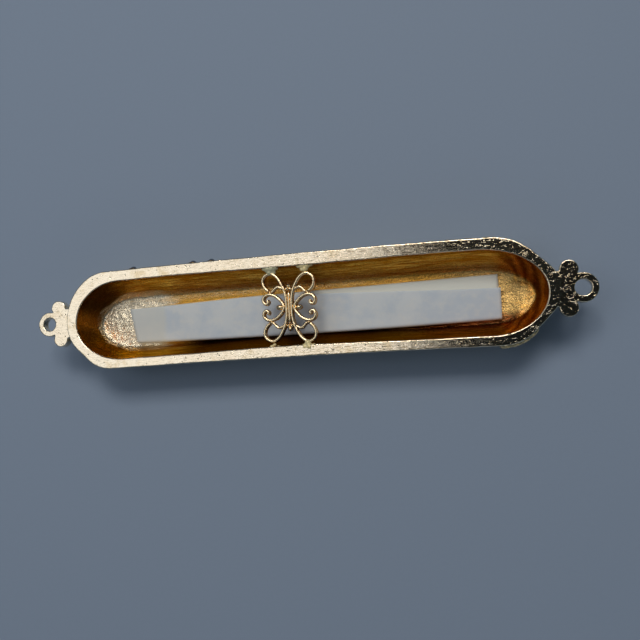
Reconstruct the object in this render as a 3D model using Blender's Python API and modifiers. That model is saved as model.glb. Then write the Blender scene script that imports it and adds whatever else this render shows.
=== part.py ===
"""Open-backed mezuzah case with a filigree retaining bridge and a folded parchment scroll.

The case lies on its front face with its open back up. +X runs along the case, +Z points out of
the open back, and the origin is on the resting plane under the middle of the case. All lengths
are in metres; MM turns millimetres into metres.
"""

import math

import bmesh
import bpy
from mathutils import Matrix, Vector

MM = 0.001

# Case: overall sizes.
HALF_LENGTH = 51.0 * MM  # middle of the case to the tip of each hanging ring
HALF_WIDTH = 9.25 * MM
HEIGHT = 9.5 * MM  # resting plane to the flat rim
FACE_Z = 0.6 * MM  # the front face, above the resting plane by the height of its rope border

# Case: plan outline, a long side, a corner arc, a slanted line and a nose arc. The hand-finished
# casting's four corners differ a little. They are keyed by the signs of X and Y.
CORNERS = {  # centre X and radius of the corner arc
    (1, 1): (34.0 * MM, 10.0 * MM),
    (-1, 1): (37.0 * MM, 7.0 * MM),
    (-1, -1): (36.0 * MM, 7.0 * MM),
    (1, -1): (35.4 * MM, 7.0 * MM),
}
SLANT = math.radians(46.0)  # direction of the slanted line's outward normal
NOSE_TIP = 45.2 * MM
FACE_INSET = 4.6 * MM  # how far the convex sides draw in between the rim and the front face
BOW = 0.53 * MM  # how far both ends lie below the middle in plan
ARC_STEPS = 5
SIDE_X = (24.0 * MM, 12.0 * MM, 0.0)  # places along the long sides
FILING = 0.6 * MM  # left on the open back's castings, then cut off level with the rim

# Cavity: plan at the rim, with half-ellipse ends and a slight waist under the bridge.
CAVITY_HALF_WIDTH = 7.35 * MM
CAVITY_TIP = 43.1 * MM
CAVITY_ENDS = {  # where the long sides turn into the half-ellipse ends, by the signs of X and Y
    (1, 1): 31.8 * MM,
    (-1, 1): 34.2 * MM,
    (-1, -1): 33.7 * MM,
    (1, -1): 33.6 * MM,
}
CAVITY_DEPTH = 7.1 * MM
CAVITY_DRAW_SIDE = 2.8 * MM  # how far the side walls run in down to the floor
CAVITY_DRAW_END = 1.95 * MM
# The wall's section as shares of the draw and of the depth: upright, a slope, then a fillet.
CAVITY_WALL = (
    (0, 0),
    (0.02, 0.14),
    (0.09, 0.26),
    (0.39, 0.56),
    (0.73, 0.87),
    (0.8, 0.935),
    (0.89, 0.976),
    (1, 1),
)
CAVITY_Y = -0.15 * MM  # the cavity lies a little off the outline's middle line
WAIST = 0.25 * MM
WAIST_HALF_LENGTH = 24.0 * MM

# Hanging lugs: two round lobes and a nail ring, cast on each end, flush with the rim.
LUG_THICKNESS = 1.7 * MM
RING_R = 2.45 * MM
RING_HOLE_R = 1.4 * MM
LOBE_R = 1.5 * MM
LOBE_BACK = 4.7 * MM  # from the ring's tip back to the lobes' centres
LOBE_Y = 3.2 * MM
LOBE_SKEW = 0.2 * MM  # how far the +Y lobe stands out and the -Y lobe stands back
LUG_ROOT_X = 40.65 * MM  # where the lug's outline ends, buried in the nose
LUGS = {1: (1.0, -0.45 * MM), -1: (0.93, -0.2 * MM)}  # scale, and place across the case

# Relief cast on the front: a rope border round a field of leaf pairs, and sprigs on the sides.
BORDER_R = 0.5 * MM
BORDER_INSET = 3.8 * MM
LEAF = (1.9 * MM, 0.85 * MM, 0.42 * MM)  # half length, half width, half thickness
FIELD_LEAF_X = 3.1 * MM  # from a field crystal to its four leaves
FIELD_LEAF_Y = 1.7 * MM
FIELD_LEAF_TURN = math.radians(32)
FIELD_PITCH = 13.0 * MM  # between the crystals down the middle of the field
FIELD_CRYSTALS = 5
FIELD_CRYSTAL_R = 0.9 * MM
FIELD_SINK = 0.22 * MM
EDGE_CRYSTAL_R = 0.62 * MM
EDGE_CRYSTAL_X = (-31.5 * MM, -19.5 * MM, -15.9 * MM)
EDGE_CRYSTAL_Z = 8.35 * MM
SPRIG_LEAF_X = 1.0 * MM  # from an edge crystal to its two leaves
SPRIG_LEAF_Z = 5.9 * MM
SPRIG_LEAF_TURN = math.radians(62)
EDGE_LEAF_X = (24.5 * MM, 27.7 * MM, 30.9 * MM, 34.1 * MM)
EDGE_LEAF_Z = 7.6 * MM
EDGE_LEAF_TURN = math.radians(18)
CORNER_LEAF = (1.25 * MM, 0.8 * MM, 0.5 * MM)
CORNER_LEAF_AT = (88, 74, 60, 46)  # degrees round the corner arc
CORNER_LEAF_Z = 8.3 * MM
CORNER_LEAF_TURN = math.radians(25)
CORNER_LEAF_DIP = 0.3  # how far the corner leaves face down
CUP_WALL = 0.28 * MM
CRYSTAL_GAP = 0.04 * MM

# Bridge: tall thin wires bent in one plane just below the rim.
BRIDGE_X = -1.45 * MM
BRIDGE_Y = -0.15 * MM
BRIDGE_Z = 8.4 * MM  # mid height of the wires
BRIDGE_LEAN = 0.05  # how far the hand-set pattern drops per unit of X
WIRE_HALF = (0.22 * MM, 0.7 * MM)  # half width, half depth
SMALL_WIRE_HALF = (0.17 * MM, 0.58 * MM)
GRANULE = (0.3 * MM, 0.3 * MM, 0.6 * MM)
COLLAR = (0.42 * MM, 0.15 * MM, 0.65 * MM)
DROP = (0.55 * MM, 0.42 * MM, 0.58 * MM)
LOOP_Y = 6.1 * MM  # the corner loops' tops, where the solder takes hold
SOLDER_SHY = 0.25 * MM  # left between the solder and the cavity wall
SOLDER_HALF_DEPTH = 0.5 * MM
SOLDER = {  # offset from the bridge's middle, half width, side
    "solder_upper_left": (-3.1 * MM, 1.05 * MM, 1),
    "solder_upper_right": (3.15 * MM, 1.15 * MM, 1),
    "solder_lower_left": (-3.1 * MM, 0.6 * MM, -1),
    "solder_lower_right": (3.3 * MM, 1.2 * MM, -1),
}

# Folded parchment: a sheet rolled up and pressed flat.
SCROLL_LENGTH = 70.0 * MM
SCROLL_X = 0.5 * MM  # the middle of the scroll at rest
SCROLL_Y = -0.45 * MM
SCROLL_LIFT = 0.05 * MM  # the folds rest on the foot of the walls
SCROLL_WIDTH = 8.1 * MM
SHEET = 0.24 * MM
LEAF_PITCH = 0.42 * MM  # from one layer to the next

# Clearance left between pieces that touch or are soldered.
GAP = 0.03 * MM

MATERIALS = {
    "cast_gold": ((0.83, 0.62, 0.33), 1.0, 0.38),
    "wire_gold": ((0.88, 0.68, 0.40), 1.0, 0.28),
    "solder": ((0.74, 0.70, 0.58), 1.0, 0.45),
    "parchment": ((0.66, 0.69, 0.72), 0.0, 0.75),
    "crystal": ((0.10, 0.14, 0.20), 0.0, 0.05),
}


def start_clean():
    """Remove the scene's objects and make the two collections."""
    for obj in list(bpy.data.objects):
        bpy.data.objects.remove(obj, do_unlink=True)
    made = []
    for name in ("mezuzah_case", "cutters"):
        group = bpy.data.collections.new(name)
        bpy.context.scene.collection.children.link(group)
        made.append(group)
    return made


def make_materials():
    """One Principled material for each finish."""
    for name, (colour, metallic, roughness) in MATERIALS.items():
        mat = bpy.data.materials.new(name)
        mat.use_nodes = True
        shader = mat.node_tree.nodes["Principled BSDF"]
        shader.inputs["Base Color"].default_value = (*colour, 1.0)
        shader.inputs["Metallic"].default_value = metallic
        shader.inputs["Roughness"].default_value = roughness


def place(name, data, group, finish=None):
    """Link an object made from a mesh or a curve, with its finish."""
    obj = bpy.data.objects.new(name, data)
    group.objects.link(obj)
    if finish:
        data.materials.append(bpy.data.materials[finish])
    return obj


def to_mesh(bm, name):
    """Turn a bmesh into mesh data with its faces pointing out."""
    bmesh.ops.recalc_face_normals(bm, faces=bm.faces)
    mesh = bpy.data.meshes.new(name)
    bm.to_mesh(mesh)
    bm.free()
    return mesh


def helper(obj):
    """Mark a cutter or a joined blank so that it is not a part of its own."""
    obj.hide_render = True
    obj.display_type = "WIRE"
    return obj


def curve_to_mesh(obj, name):
    """Replace a curve object by a welded mesh object in the same place."""
    graph = bpy.context.evaluated_depsgraph_get()
    mesh = bpy.data.meshes.new_from_object(obj.evaluated_get(graph))
    bm = bmesh.new()
    bm.from_mesh(mesh)
    bmesh.ops.remove_doubles(bm, verts=bm.verts, dist=0.001 * MM)
    bmesh.ops.recalc_face_normals(bm, faces=bm.faces)
    bm.to_mesh(mesh)
    bm.free()
    group = obj.users_collection[0]
    matrix = obj.matrix_world.copy()
    bpy.data.objects.remove(obj, do_unlink=True)
    made = bpy.data.objects.new(name, mesh)
    made.matrix_world = matrix
    group.objects.link(made)
    return made


def boolean(obj, operation, group):
    """Join or cut an object with every mesh in a collection."""
    mod = obj.modifiers.new(operation.lower(), "BOOLEAN")
    mod.operation = operation
    mod.operand_type = "COLLECTION"
    mod.collection = group
    mod.solver = "EXACT"


def arc(cx, cy, radius, start, end, steps):
    """Points along an arc, with both ends."""
    angles = [start + (end - start) * i / steps for i in range(steps + 1)]
    return [(cx + radius * math.cos(a), cy + radius * math.sin(a)) for a in angles]


def bow(x):
    """How far the casting's middle line lies towards +Y at a place along the case."""
    return BOW * (1 / 3 - (x / HALF_LENGTH) ** 2)


def all_round(quadrant, *sizes):
    """A closed, bowed outline from a function for its quarters.

    The function takes the signs of X and Y and then the sizes, and gives points as if in the first
    quarter, from the tip to the middle of the long side.
    """
    upper = quadrant((1, 1), *sizes) + [(-x, y) for x, y in reversed(quadrant((-1, 1), *sizes)) if x > 0]
    lower = [(-x, -y) for x, y in quadrant((-1, -1), *sizes) if y > 0]
    lower += [(x, -y) for x, y in reversed(quadrant((1, -1), *sizes)) if x > 0 and y > 0]
    return [(x, y + bow(x)) for x, y in upper + lower]


def case_quarter(signs, inset, steps):
    """One quarter of the case's plan outline."""
    corner_x, corner_r = CORNERS[signs]
    corner_y = HALF_WIDTH - corner_r
    reach = corner_x * math.cos(SLANT) + corner_y * math.sin(SLANT) + corner_r
    nose_x = (NOSE_TIP - reach) / (1 - math.cos(SLANT))
    nose = arc(nose_x, 0, NOSE_TIP - nose_x - inset, 0, SLANT, steps)
    corner = arc(corner_x, corner_y, corner_r - inset, SLANT, math.pi / 2, steps)
    return nose + corner + [(x, HALF_WIDTH - inset) for x in SIDE_X]


def case_outline(inset, steps=ARC_STEPS):
    """The case's plan outline, drawn in by an inset."""
    return all_round(case_quarter, inset, steps)


def waist(x):
    """How far the cavity's sides come in at a place along the case."""
    if abs(x) >= WAIST_HALF_LENGTH:
        return 0.0
    return WAIST * (1 + math.cos(math.pi * x / WAIST_HALF_LENGTH)) / 2


def cavity_quarter(signs, side_inset, end_inset):
    """One quarter of the cavity's plan outline."""
    half = CAVITY_HALF_WIDTH - side_inset
    end_x = CAVITY_ENDS[signs]
    reach = CAVITY_TIP - end_inset - end_x
    points = [(end_x + reach * c, half * s) for c, s in arc(0, 0, 1.0, 0, math.pi / 2, 10)]
    for i in range(6, -1, -1):
        x = WAIST_HALF_LENGTH * i / 6
        points.append((x, half - waist(x)))
    return points


def loft(name, levels, group, finish=None):
    """A solid through outlines of equal point count, each given with its height."""
    bm = bmesh.new()
    rings = [[bm.verts.new((x, y, z)) for x, y in outline] for outline, z in levels]
    count = len(rings[0])
    for upper, lower in zip(rings, rings[1:]):
        for i in range(count):
            j = (i + 1) % count
            bm.faces.new((upper[i], upper[j], lower[j], lower[i]))
    bm.faces.new(rings[0])
    bm.faces.new(rings[-1])
    return place(name, to_mesh(bm, name), group, finish)


def side_point(theta):
    """Inset and depth below the rim on the convex outer side, theta from 0 at the rim."""
    return FACE_INSET * (1 - math.cos(theta)), (HEIGHT - FACE_Z) * math.sin(theta)


def case_body(group):
    """The convex casting before its relief, its cavity and the filing of its rim."""
    levels = [(case_outline(0), HEIGHT + FILING)]
    for degrees in (0, 18, 36, 52, 66, 79, 90):
        inset, depth = side_point(math.radians(degrees))
        levels.append((case_outline(inset), HEIGHT - depth))
    return loft("case_shell", levels, group, "cast_gold")


def cavity_cutter(group):
    """The scooped hollow, open through the rim."""
    levels = [(all_round(cavity_quarter, 0, 0), HEIGHT + 1.0 * MM)]
    for draw, depth in CAVITY_WALL:
        outline = all_round(cavity_quarter, CAVITY_DRAW_SIDE * draw, CAVITY_DRAW_END * draw)
        levels.append((outline, HEIGHT - CAVITY_DEPTH * depth))
    cavity = loft("cavity", levels, group)
    cavity.location.y = CAVITY_Y
    helper(cavity)


def filing_cutter(group):
    """The cut that leaves the rim and both lugs flat and level."""
    bm = bmesh.new()
    size = Matrix.Diagonal((3 * HALF_LENGTH, 4 * HALF_WIDTH, 4 * FILING, 1.0))
    bmesh.ops.create_cube(bm, size=1.0, matrix=Matrix.Translation((0, 0, HEIGHT + 2 * FILING)) @ size)
    helper(place("filing", to_mesh(bm, "filing"), group))


def lug_half(scale, lobe_back):
    """The +Y half of a lug's outline: the root, a lobe, and half of the ring."""
    ring_x = HALF_LENGTH - RING_R * scale
    lobe_x = HALF_LENGTH - lobe_back * scale
    lobe_y = LOBE_Y * scale
    points = [(LUG_ROOT_X, lobe_y)]
    points += arc(lobe_x, lobe_y, LOBE_R * scale, math.radians(190), math.radians(-20), 10)
    return points + arc(ring_x, 0, RING_R * scale, math.radians(122), 0, 8)


def lug(side, scale, lug_y, group):
    """Two lobes and a nail ring in one flat outline, buried in the nose at its inner end."""
    upper = lug_half(scale, LOBE_BACK - LOBE_SKEW)
    lower = lug_half(scale, LOBE_BACK + LOBE_SKEW)
    outline = upper + [(x, -y) for x, y in reversed(lower[:-1])]
    hole = arc(HALF_LENGTH - RING_R * scale, 0, RING_HOLE_R * scale, 0, 2 * math.pi, 20)[:-1]
    curve = bpy.data.curves.new(f"lug_{side}", "CURVE")
    curve.dimensions = "2D"
    curve.fill_mode = "BOTH"
    curve.extrude = (LUG_THICKNESS + FILING) / 2
    for points in (outline, hole):
        spline = curve.splines.new("POLY")
        spline.points.add(len(points) - 1)
        for point, (x, y) in zip(spline.points, points):
            point.co = (side * x, y + lug_y, 0, 1)
        spline.use_cyclic_u = True
    obj = place(f"lug_{side}", curve, group)
    obj.location.z = HEIGHT + (FILING - LUG_THICKNESS) / 2
    bpy.context.view_layer.update()
    helper(curve_to_mesh(obj, f"lug_blank_{side}"))


def rope_border(group):
    """The raised border on the front face, which the case rests on."""
    curve = bpy.data.curves.new("rope_border", "CURVE")
    curve.dimensions = "3D"
    curve.bevel_depth = BORDER_R
    curve.bevel_resolution = 2
    points = case_outline(BORDER_INSET, 3)
    spline = curve.splines.new("POLY")
    spline.points.add(len(points) - 1)
    for point, (x, y) in zip(spline.points, points):
        point.co = (x, y, BORDER_R, 1)
    spline.use_cyclic_u = True
    helper(curve_to_mesh(place("rope_border", curve, group), "rope_border_blank"))


def frame_at(position, normal, along=Vector((1, 0, 0))):
    """A matrix at a place whose Z is the normal and whose X is nearest to a direction."""
    z = Vector(normal).normalized()
    y = z.cross(along).normalized()
    x = y.cross(z)
    turned = Matrix((x, y, z)).transposed().to_4x4()
    return Matrix.Translation(position) @ turned


def side_frame(x, height, side):
    """A frame on the straight outer side of the case, facing out."""
    theta = math.asin((HEIGHT - height) / (HEIGHT - FACE_Z))
    inset, _ = side_point(theta)
    out_y = side * (HEIGHT - FACE_Z) * math.cos(theta)
    out_z = -FACE_INSET * math.sin(theta)
    return frame_at((x, side * (HALF_WIDTH - inset) + bow(x), height), (0, out_y, out_z))


def corner_frame(turn, height, side):
    """A frame on the +X corner arc of the case, at an angle from the +X axis, facing out."""
    theta = math.asin((HEIGHT - height) / (HEIGHT - FACE_Z))
    inset, _ = side_point(theta)
    corner_x, corner_r = CORNERS[(1, side)]
    x = corner_x + (corner_r - inset) * math.cos(turn)
    y = side * (HALF_WIDTH - corner_r + (corner_r - inset) * math.sin(turn)) + bow(x)
    out = (math.cos(turn), side * math.sin(turn), -CORNER_LEAF_DIP * math.sin(theta))
    return frame_at((x, y, height), out, Vector((-side * out[1], side * out[0], 0)))


def leaf(name, frame, turn, size, group):
    """A lens-shaped leaf, half sunk in the surface that its frame lies on."""
    bm = bmesh.new()
    bmesh.ops.create_uvsphere(bm, u_segments=8, v_segments=5, radius=1.0)
    shape = Matrix.Diagonal((*size, 1.0))
    bmesh.ops.transform(bm, matrix=frame @ Matrix.Rotation(turn, 4, "Z") @ shape, verts=bm.verts)
    helper(place(name, to_mesh(bm, name), group))


def disc(name, frame, radius, low, high, group):
    """A short cylinder along a frame's Z."""
    bm = bmesh.new()
    size = {"radius1": radius, "radius2": radius, "depth": high - low}
    bmesh.ops.create_cone(bm, cap_ends=True, segments=14, **size)
    shift = Matrix.Translation((0, 0, (low + high) / 2))
    bmesh.ops.transform(bm, matrix=frame @ shift, verts=bm.verts)
    helper(place(name, to_mesh(bm, name), group))


def crystal(name, frame, radius, joined, cut, parts):
    """A faceted stone in a round cup: the cup joins the case, its seat is cut, the stone is a part."""
    proud = 0.35 * radius
    disc(name + "_cup", frame, radius + CUP_WALL, -1.1 * MM, proud, joined)
    disc(name + "_seat", frame, radius + CRYSTAL_GAP, -0.75 * radius, 1.0 * MM, cut)
    profile = (
        (0, 0.8 * radius),
        (0.58 * radius, 0.8 * radius),
        (radius, 0.35 * radius),
        (radius, 0.2 * radius),
        (0, -0.62 * radius),
    )
    bm = bmesh.new()
    verts = [bm.verts.new((x, 0, z)) for x, z in profile]
    for a, b in zip(verts, verts[1:]):
        bm.edges.new((a, b))
    mesh = bpy.data.meshes.new(name)
    bm.to_mesh(mesh)
    bm.free()
    stone = place(name, mesh, parts, "crystal")
    stone.matrix_world = frame
    turn = stone.modifiers.new("turn", "SCREW")
    turn.steps = 8
    turn.render_steps = 8
    turn.use_merge_vertices = True
    turn.merge_threshold = 0.0001 * MM
    turn.use_smooth_shade = False


def front_relief(joined, cut, parts):
    """The border, the field's crystals and leaf pairs, and the sprigs that climb the sides."""
    rope_border(joined)
    first = -FIELD_PITCH * (FIELD_CRYSTALS - 1) / 2
    for i in range(FIELD_CRYSTALS):
        x = first + FIELD_PITCH * i
        # The stones are set deep enough for the border alone to touch the resting plane.
        down = frame_at((x, bow(x), FACE_Z + FIELD_SINK), (0, 0, -1))
        crystal(f"crystal_front_{i + 1}", down, FIELD_CRYSTAL_R, joined, cut, parts)
        for side in (-1, 1):
            for end in (-1, 1):
                spot = (x + end * FIELD_LEAF_X, side * FIELD_LEAF_Y + bow(x), FACE_Z)
                frame = frame_at(spot, (0, 0, -1))
                turn = -end * side * FIELD_LEAF_TURN
                leaf(f"field_leaf_{i}_{side}_{end}", frame, turn, LEAF, joined)
    for i, x in enumerate(EDGE_CRYSTAL_X):
        seat = side_frame(x, EDGE_CRYSTAL_Z, 1)
        crystal(f"crystal_edge_{i + 1}", seat, EDGE_CRYSTAL_R, joined, cut, parts)
        for end in (-1, 1):
            frame = side_frame(x + end * SPRIG_LEAF_X, SPRIG_LEAF_Z, 1)
            leaf(f"sprig_leaf_{i}_{end}", frame, end * SPRIG_LEAF_TURN, LEAF, joined)
    for i, x in enumerate(EDGE_LEAF_X):
        leaf(f"edge_leaf_{i}", side_frame(x, EDGE_LEAF_Z, 1), EDGE_LEAF_TURN, LEAF, joined)
    for i, degrees in enumerate(CORNER_LEAF_AT):
        frame = corner_frame(math.radians(degrees), CORNER_LEAF_Z, -1)
        leaf(f"corner_leaf_{i}", frame, CORNER_LEAF_TURN, CORNER_LEAF, joined)


def wire_profile(name, half, group):
    """The tall rounded section of a filigree wire."""
    wide, tall = half
    corner = 0.45 * wide
    points = [(wide, tall - wide * 0.8), (wide - corner, tall)]
    points = points + [(-x, y) for x, y in reversed(points)]
    points = points + [(x, -y) for x, y in reversed(points)]
    curve = bpy.data.curves.new(name, "CURVE")
    curve.dimensions = "2D"
    spline = curve.splines.new("POLY")
    spline.points.add(len(points) - 1)
    for point, (x, y) in zip(spline.points, points):
        point.co = (x, y, 0, 1)
    spline.use_cyclic_u = True
    return helper(place(name, curve, group))


def bridge_place(x, y):
    """From the bridge's own plan to the case, with the hand-set lean."""
    return BRIDGE_X + x, BRIDGE_Y + y - BRIDGE_LEAN * x


def wire(name, points, profile, group):
    """A wire of tall section through plan points of the bridge."""
    curve = bpy.data.curves.new(name, "CURVE")
    curve.dimensions = "3D"
    curve.twist_mode = "Z_UP"
    curve.bevel_mode = "OBJECT"
    curve.bevel_object = profile
    curve.use_fill_caps = True
    curve.resolution_u = 3
    spline = curve.splines.new("BEZIER")
    spline.bezier_points.add(len(points) - 1)
    for knot, (x, y) in zip(spline.bezier_points, points):
        knot.co = (*bridge_place(x * MM, y * MM), BRIDGE_Z)
        knot.handle_left_type = "AUTO"
        knot.handle_right_type = "AUTO"
    made = curve_to_mesh(place(name + "_route", curve, group), name)
    made.data.materials.append(bpy.data.materials["wire_gold"])


def bead(name, x, y, size, group):
    """A rounded lump of a given size, at a place in the bridge's plan, in millimetres."""
    bm = bmesh.new()
    bmesh.ops.create_icosphere(bm, subdivisions=2, radius=1.0)
    bmesh.ops.transform(bm, matrix=Matrix.Diagonal((*size, 1.0)), verts=bm.verts)
    obj = place(name, to_mesh(bm, name), group, "wire_gold")
    obj.location = (*bridge_place(x * MM, y * MM), BRIDGE_Z)


def long_wires(profile, group):
    """Two long wires, back to back at the waist and looped outwards at every corner."""
    half = [(0.48, 0), (0.52, 1.6), (0.80, 3.0), (1.28, 4.15), (2.05, 5.4), (3.15, 6.1)]
    half += [(4.25, 5.75), (4.72, 4.85), (4.5, 3.85), (3.85, 3.12)]
    points = [(x, -y) for x, y in reversed(half[1:])] + half
    wire("bridge_wire_right", points, profile, group)
    wire("bridge_wire_left", [(-x, y) for x, y in points], profile, group)


def heart_wires(profile, group):
    """Two C-scrolls with curled ends, their backs against the long wires."""
    half = [(0.96, 0), (1.3, 0.85), (2.25, 1.85), (3.4, 2.33), (4.35, 2.1), (4.78, 1.4)]
    half += [(4.55, 0.72), (4.08, 0.62), (3.82, 0.95), (4.0, 1.3)]
    points = [(x, -y) for x, y in reversed(half[1:])] + half
    wire("bridge_heart_right", points, profile, group)
    wire("bridge_heart_left", [(-x, y) for x, y in points], profile, group)


def small_wires(profile, group):
    """The centre bar, and a short curl from each collar to its long wire."""
    wire("bridge_bar", [(0, -2.85), (0, 0), (0, 2.85)], profile, group)
    curl = [(1.5, 3.45), (1.98, 3.68), (2.5, 3.4), (2.92, 2.93)]
    for row, sign_y in (("upper", 1), ("lower", -1)):
        for column, sign_x in (("left", -1), ("right", 1)):
            points = [(sign_x * x, sign_y * y) for x, y in curl]
            wire(f"bridge_curl_{row}_{column}", points, profile, group)
            bead(f"bridge_collar_{row}_{column}", sign_x * 3.42, sign_y * 2.74, COLLAR, group)


def granules(group):
    """Three upright granules at each end of the bar, and a drop in each heart."""
    for row, sign in (("upper", 1), ("lower", -1)):
        bead(f"bridge_granule_{row}_left", -0.33, sign * 3.3, GRANULE, group)
        bead(f"bridge_granule_{row}_right", 0.33, sign * 3.3, GRANULE, group)
        bead(f"bridge_granule_{row}_crown", 0, sign * 3.86, GRANULE, group)
    for column, sign in (("left", -1), ("right", 1)):
        bead(f"bridge_drop_{column}", sign * 1.75, 0, DROP, group)


def solder_joint(name, offset, half_wide, toward, group):
    """A short tapered blob of solder between a corner loop and the cavity wall."""
    x = BRIDGE_X + offset
    wall = CAVITY_HALF_WIDTH - waist(x) + toward * (bow(x) + CAVITY_Y) - SOLDER_SHY
    loop_y = bridge_place(offset, toward * (LOOP_Y + WIRE_HALF[0] + GAP))[1]
    length = wall - abs(loop_y)
    bm = bmesh.new()
    lie = Matrix.Rotation(-math.pi / 2, 4, "X")
    taper = {"radius1": 0.7, "radius2": 1.0, "depth": 1.0}
    bmesh.ops.create_cone(bm, cap_ends=True, segments=12, matrix=lie, **taper)
    size = Matrix.Diagonal((half_wide, toward * length, SOLDER_HALF_DEPTH, 1.0))
    bmesh.ops.transform(bm, matrix=size, verts=bm.verts)
    obj = place(name, to_mesh(bm, name), group, "solder")
    obj.location = (x, toward * (wall - length / 2), BRIDGE_Z)


def bridge(parts, helpers):
    """The filigree bridge that keeps the scroll in the case."""
    tall = wire_profile("wire_section", WIRE_HALF, helpers)
    small = wire_profile("small_wire_section", SMALL_WIRE_HALF, helpers)
    long_wires(tall, parts)
    heart_wires(tall, parts)
    small_wires(small, parts)
    granules(parts)
    for name, (offset, half_wide, toward) in SOLDER.items():
        solder_joint(name, offset, half_wide, toward, parts)


def scroll_section(free_edge):
    """The middle line of the flattened roll's section, from its inner end to its free edge."""
    half = SCROLL_WIDTH / 2 - SHEET / 2
    points = [(-half + 1.6 * LEAF_PITCH, LEAF_PITCH)]
    points += arc(half - LEAF_PITCH / 2, LEAF_PITCH / 2, LEAF_PITCH / 2, math.pi / 2, -math.pi / 2, 4)
    points += arc(-half + LEAF_PITCH, LEAF_PITCH, LEAF_PITCH, -math.pi / 2, -3 * math.pi / 2, 6)
    points += [(0, 2 * LEAF_PITCH), (free_edge, 2 * LEAF_PITCH)]
    return points


def scroll(parts):
    """The parchment, rolled and pressed flat, lying on the cavity floor."""
    floor = HEIGHT - CAVITY_DEPTH
    low = floor + SHEET / 2 + SCROLL_LIFT
    # The free edge bulges towards +Y in the middle and slants back at both ends.
    stations = ((-1.0, 2.5), (-0.6, 3.2), (-0.2, 3.7), (0.2, 3.5), (0.6, 2.6), (1.0, 1.9))
    bm = bmesh.new()
    rows = []
    for along, edge in stations:
        x = SCROLL_X + along * SCROLL_LENGTH / 2
        section = scroll_section(edge * MM)
        rows.append([bm.verts.new((x, SCROLL_Y + y, low + z)) for y, z in section])
    for row, after in zip(rows, rows[1:]):
        for i in range(len(row) - 1):
            bm.faces.new((row[i], row[i + 1], after[i + 1], after[i]))
    mesh = bpy.data.meshes.new("parchment_scroll")
    bm.to_mesh(mesh)
    bm.free()
    obj = place("parchment_scroll", mesh, parts, "parchment")
    thick = obj.modifiers.new("sheet", "SOLIDIFY")
    thick.thickness = SHEET
    thick.offset = 0


def main():
    parts, helpers = start_clean()
    joined = bpy.data.collections.new("joined_to_shell")
    cut = bpy.data.collections.new("cut_from_shell")
    for group in (joined, cut):
        helpers.children.link(group)
    make_materials()
    shell = case_body(parts)
    for side, (scale, lug_y) in LUGS.items():
        lug(side, scale, lug_y, joined)
    front_relief(joined, cut, parts)
    cavity_cutter(cut)
    filing_cutter(cut)
    boolean(shell, "UNION", joined)
    boolean(shell, "DIFFERENCE", cut)
    bridge(parts, helpers)
    scroll(parts)


main()
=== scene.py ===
"""Looks of an open-backed mezuzah case with a filigree bridge and a flattened scroll.

The case lies on its front face. +X runs along it and +Z out of the open back. Metres throughout;
MM turns millimetres into metres.
"""

import math

import bmesh
import bpy
import numpy as np
from mathutils import Matrix, Vector, noise


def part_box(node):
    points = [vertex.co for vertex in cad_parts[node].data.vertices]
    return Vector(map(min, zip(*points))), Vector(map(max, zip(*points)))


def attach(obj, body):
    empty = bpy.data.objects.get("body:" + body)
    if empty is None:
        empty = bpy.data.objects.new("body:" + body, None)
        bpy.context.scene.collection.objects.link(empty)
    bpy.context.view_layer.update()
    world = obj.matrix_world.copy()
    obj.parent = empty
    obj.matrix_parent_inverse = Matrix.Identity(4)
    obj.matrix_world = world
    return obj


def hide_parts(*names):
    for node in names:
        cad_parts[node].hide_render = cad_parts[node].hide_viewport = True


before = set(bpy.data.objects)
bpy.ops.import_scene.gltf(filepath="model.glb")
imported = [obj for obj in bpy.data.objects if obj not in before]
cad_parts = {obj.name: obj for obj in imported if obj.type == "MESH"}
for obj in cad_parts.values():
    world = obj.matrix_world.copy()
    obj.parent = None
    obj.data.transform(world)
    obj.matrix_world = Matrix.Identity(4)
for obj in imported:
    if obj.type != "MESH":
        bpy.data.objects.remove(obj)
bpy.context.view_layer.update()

MM = 0.001
SHELL_LOW, SHELL_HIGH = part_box("case_shell")
SCROLL_LOW, SCROLL_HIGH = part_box("parchment_scroll")
BRIDGE_LOW, BRIDGE_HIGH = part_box("bridge_wire_left")

# Case outline, as the frame has it. The four corners are keyed by the signs of X and Y.
HALF_LENGTH = SHELL_HIGH.x
HALF_WIDTH = 9.25 * MM
HEIGHT = SHELL_HIGH.z
FACE_Z = 0.6 * MM
CORNERS = {
    (1, 1): (34.0 * MM, 10.0 * MM),
    (-1, 1): (37.0 * MM, 7.0 * MM),
    (-1, -1): (36.0 * MM, 7.0 * MM),
    (1, -1): (35.4 * MM, 7.0 * MM),
}
SLANT = math.radians(46.0)
NOSE_TIP = 45.2 * MM
FACE_INSET = 4.6 * MM
BOW = 0.53 * MM
EDGE_R = 0.18 * MM  # rounding of the rim's two edges

# Cavity.
CAVITY_HALF_WIDTH = 7.35 * MM
CAVITY_TIP = 43.1 * MM
CAVITY_ENDS = {(1, 1): 31.8 * MM, (-1, 1): 34.2 * MM, (-1, -1): 33.7 * MM, (1, -1): 33.6 * MM}
CAVITY_DEPTH = 7.1 * MM
CAVITY_DRAW_SIDE = 2.8 * MM
CAVITY_DRAW_END = 1.95 * MM
# The wall's line as (share of the draw, share of the depth), from the rim to the floor.
CAVITY_WALL = [(0, 0), (0.02, 0.14), (0.09, 0.26), (0.39, 0.56)]
CAVITY_WALL += [(0.73, 0.87), (0.8, 0.935), (0.89, 0.976), (1, 1)]
WALL_SHAPE = (2.5, 7.1)  # about its draw and depth, so that steps along its line come out even
DISH_X = 31 * MM  # middle of the ellipse past which the floor's +X end sweeps up into the wall
DISH_HALF_WIDTH = 4.6 * MM
DISH_RISE = 1.1 * MM
CAVITY_Y = -0.15 * MM
FLOOR_Z = HEIGHT - CAVITY_DEPTH
WAIST = 0.25 * MM
WAIST_HALF_LENGTH = 24.0 * MM

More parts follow.
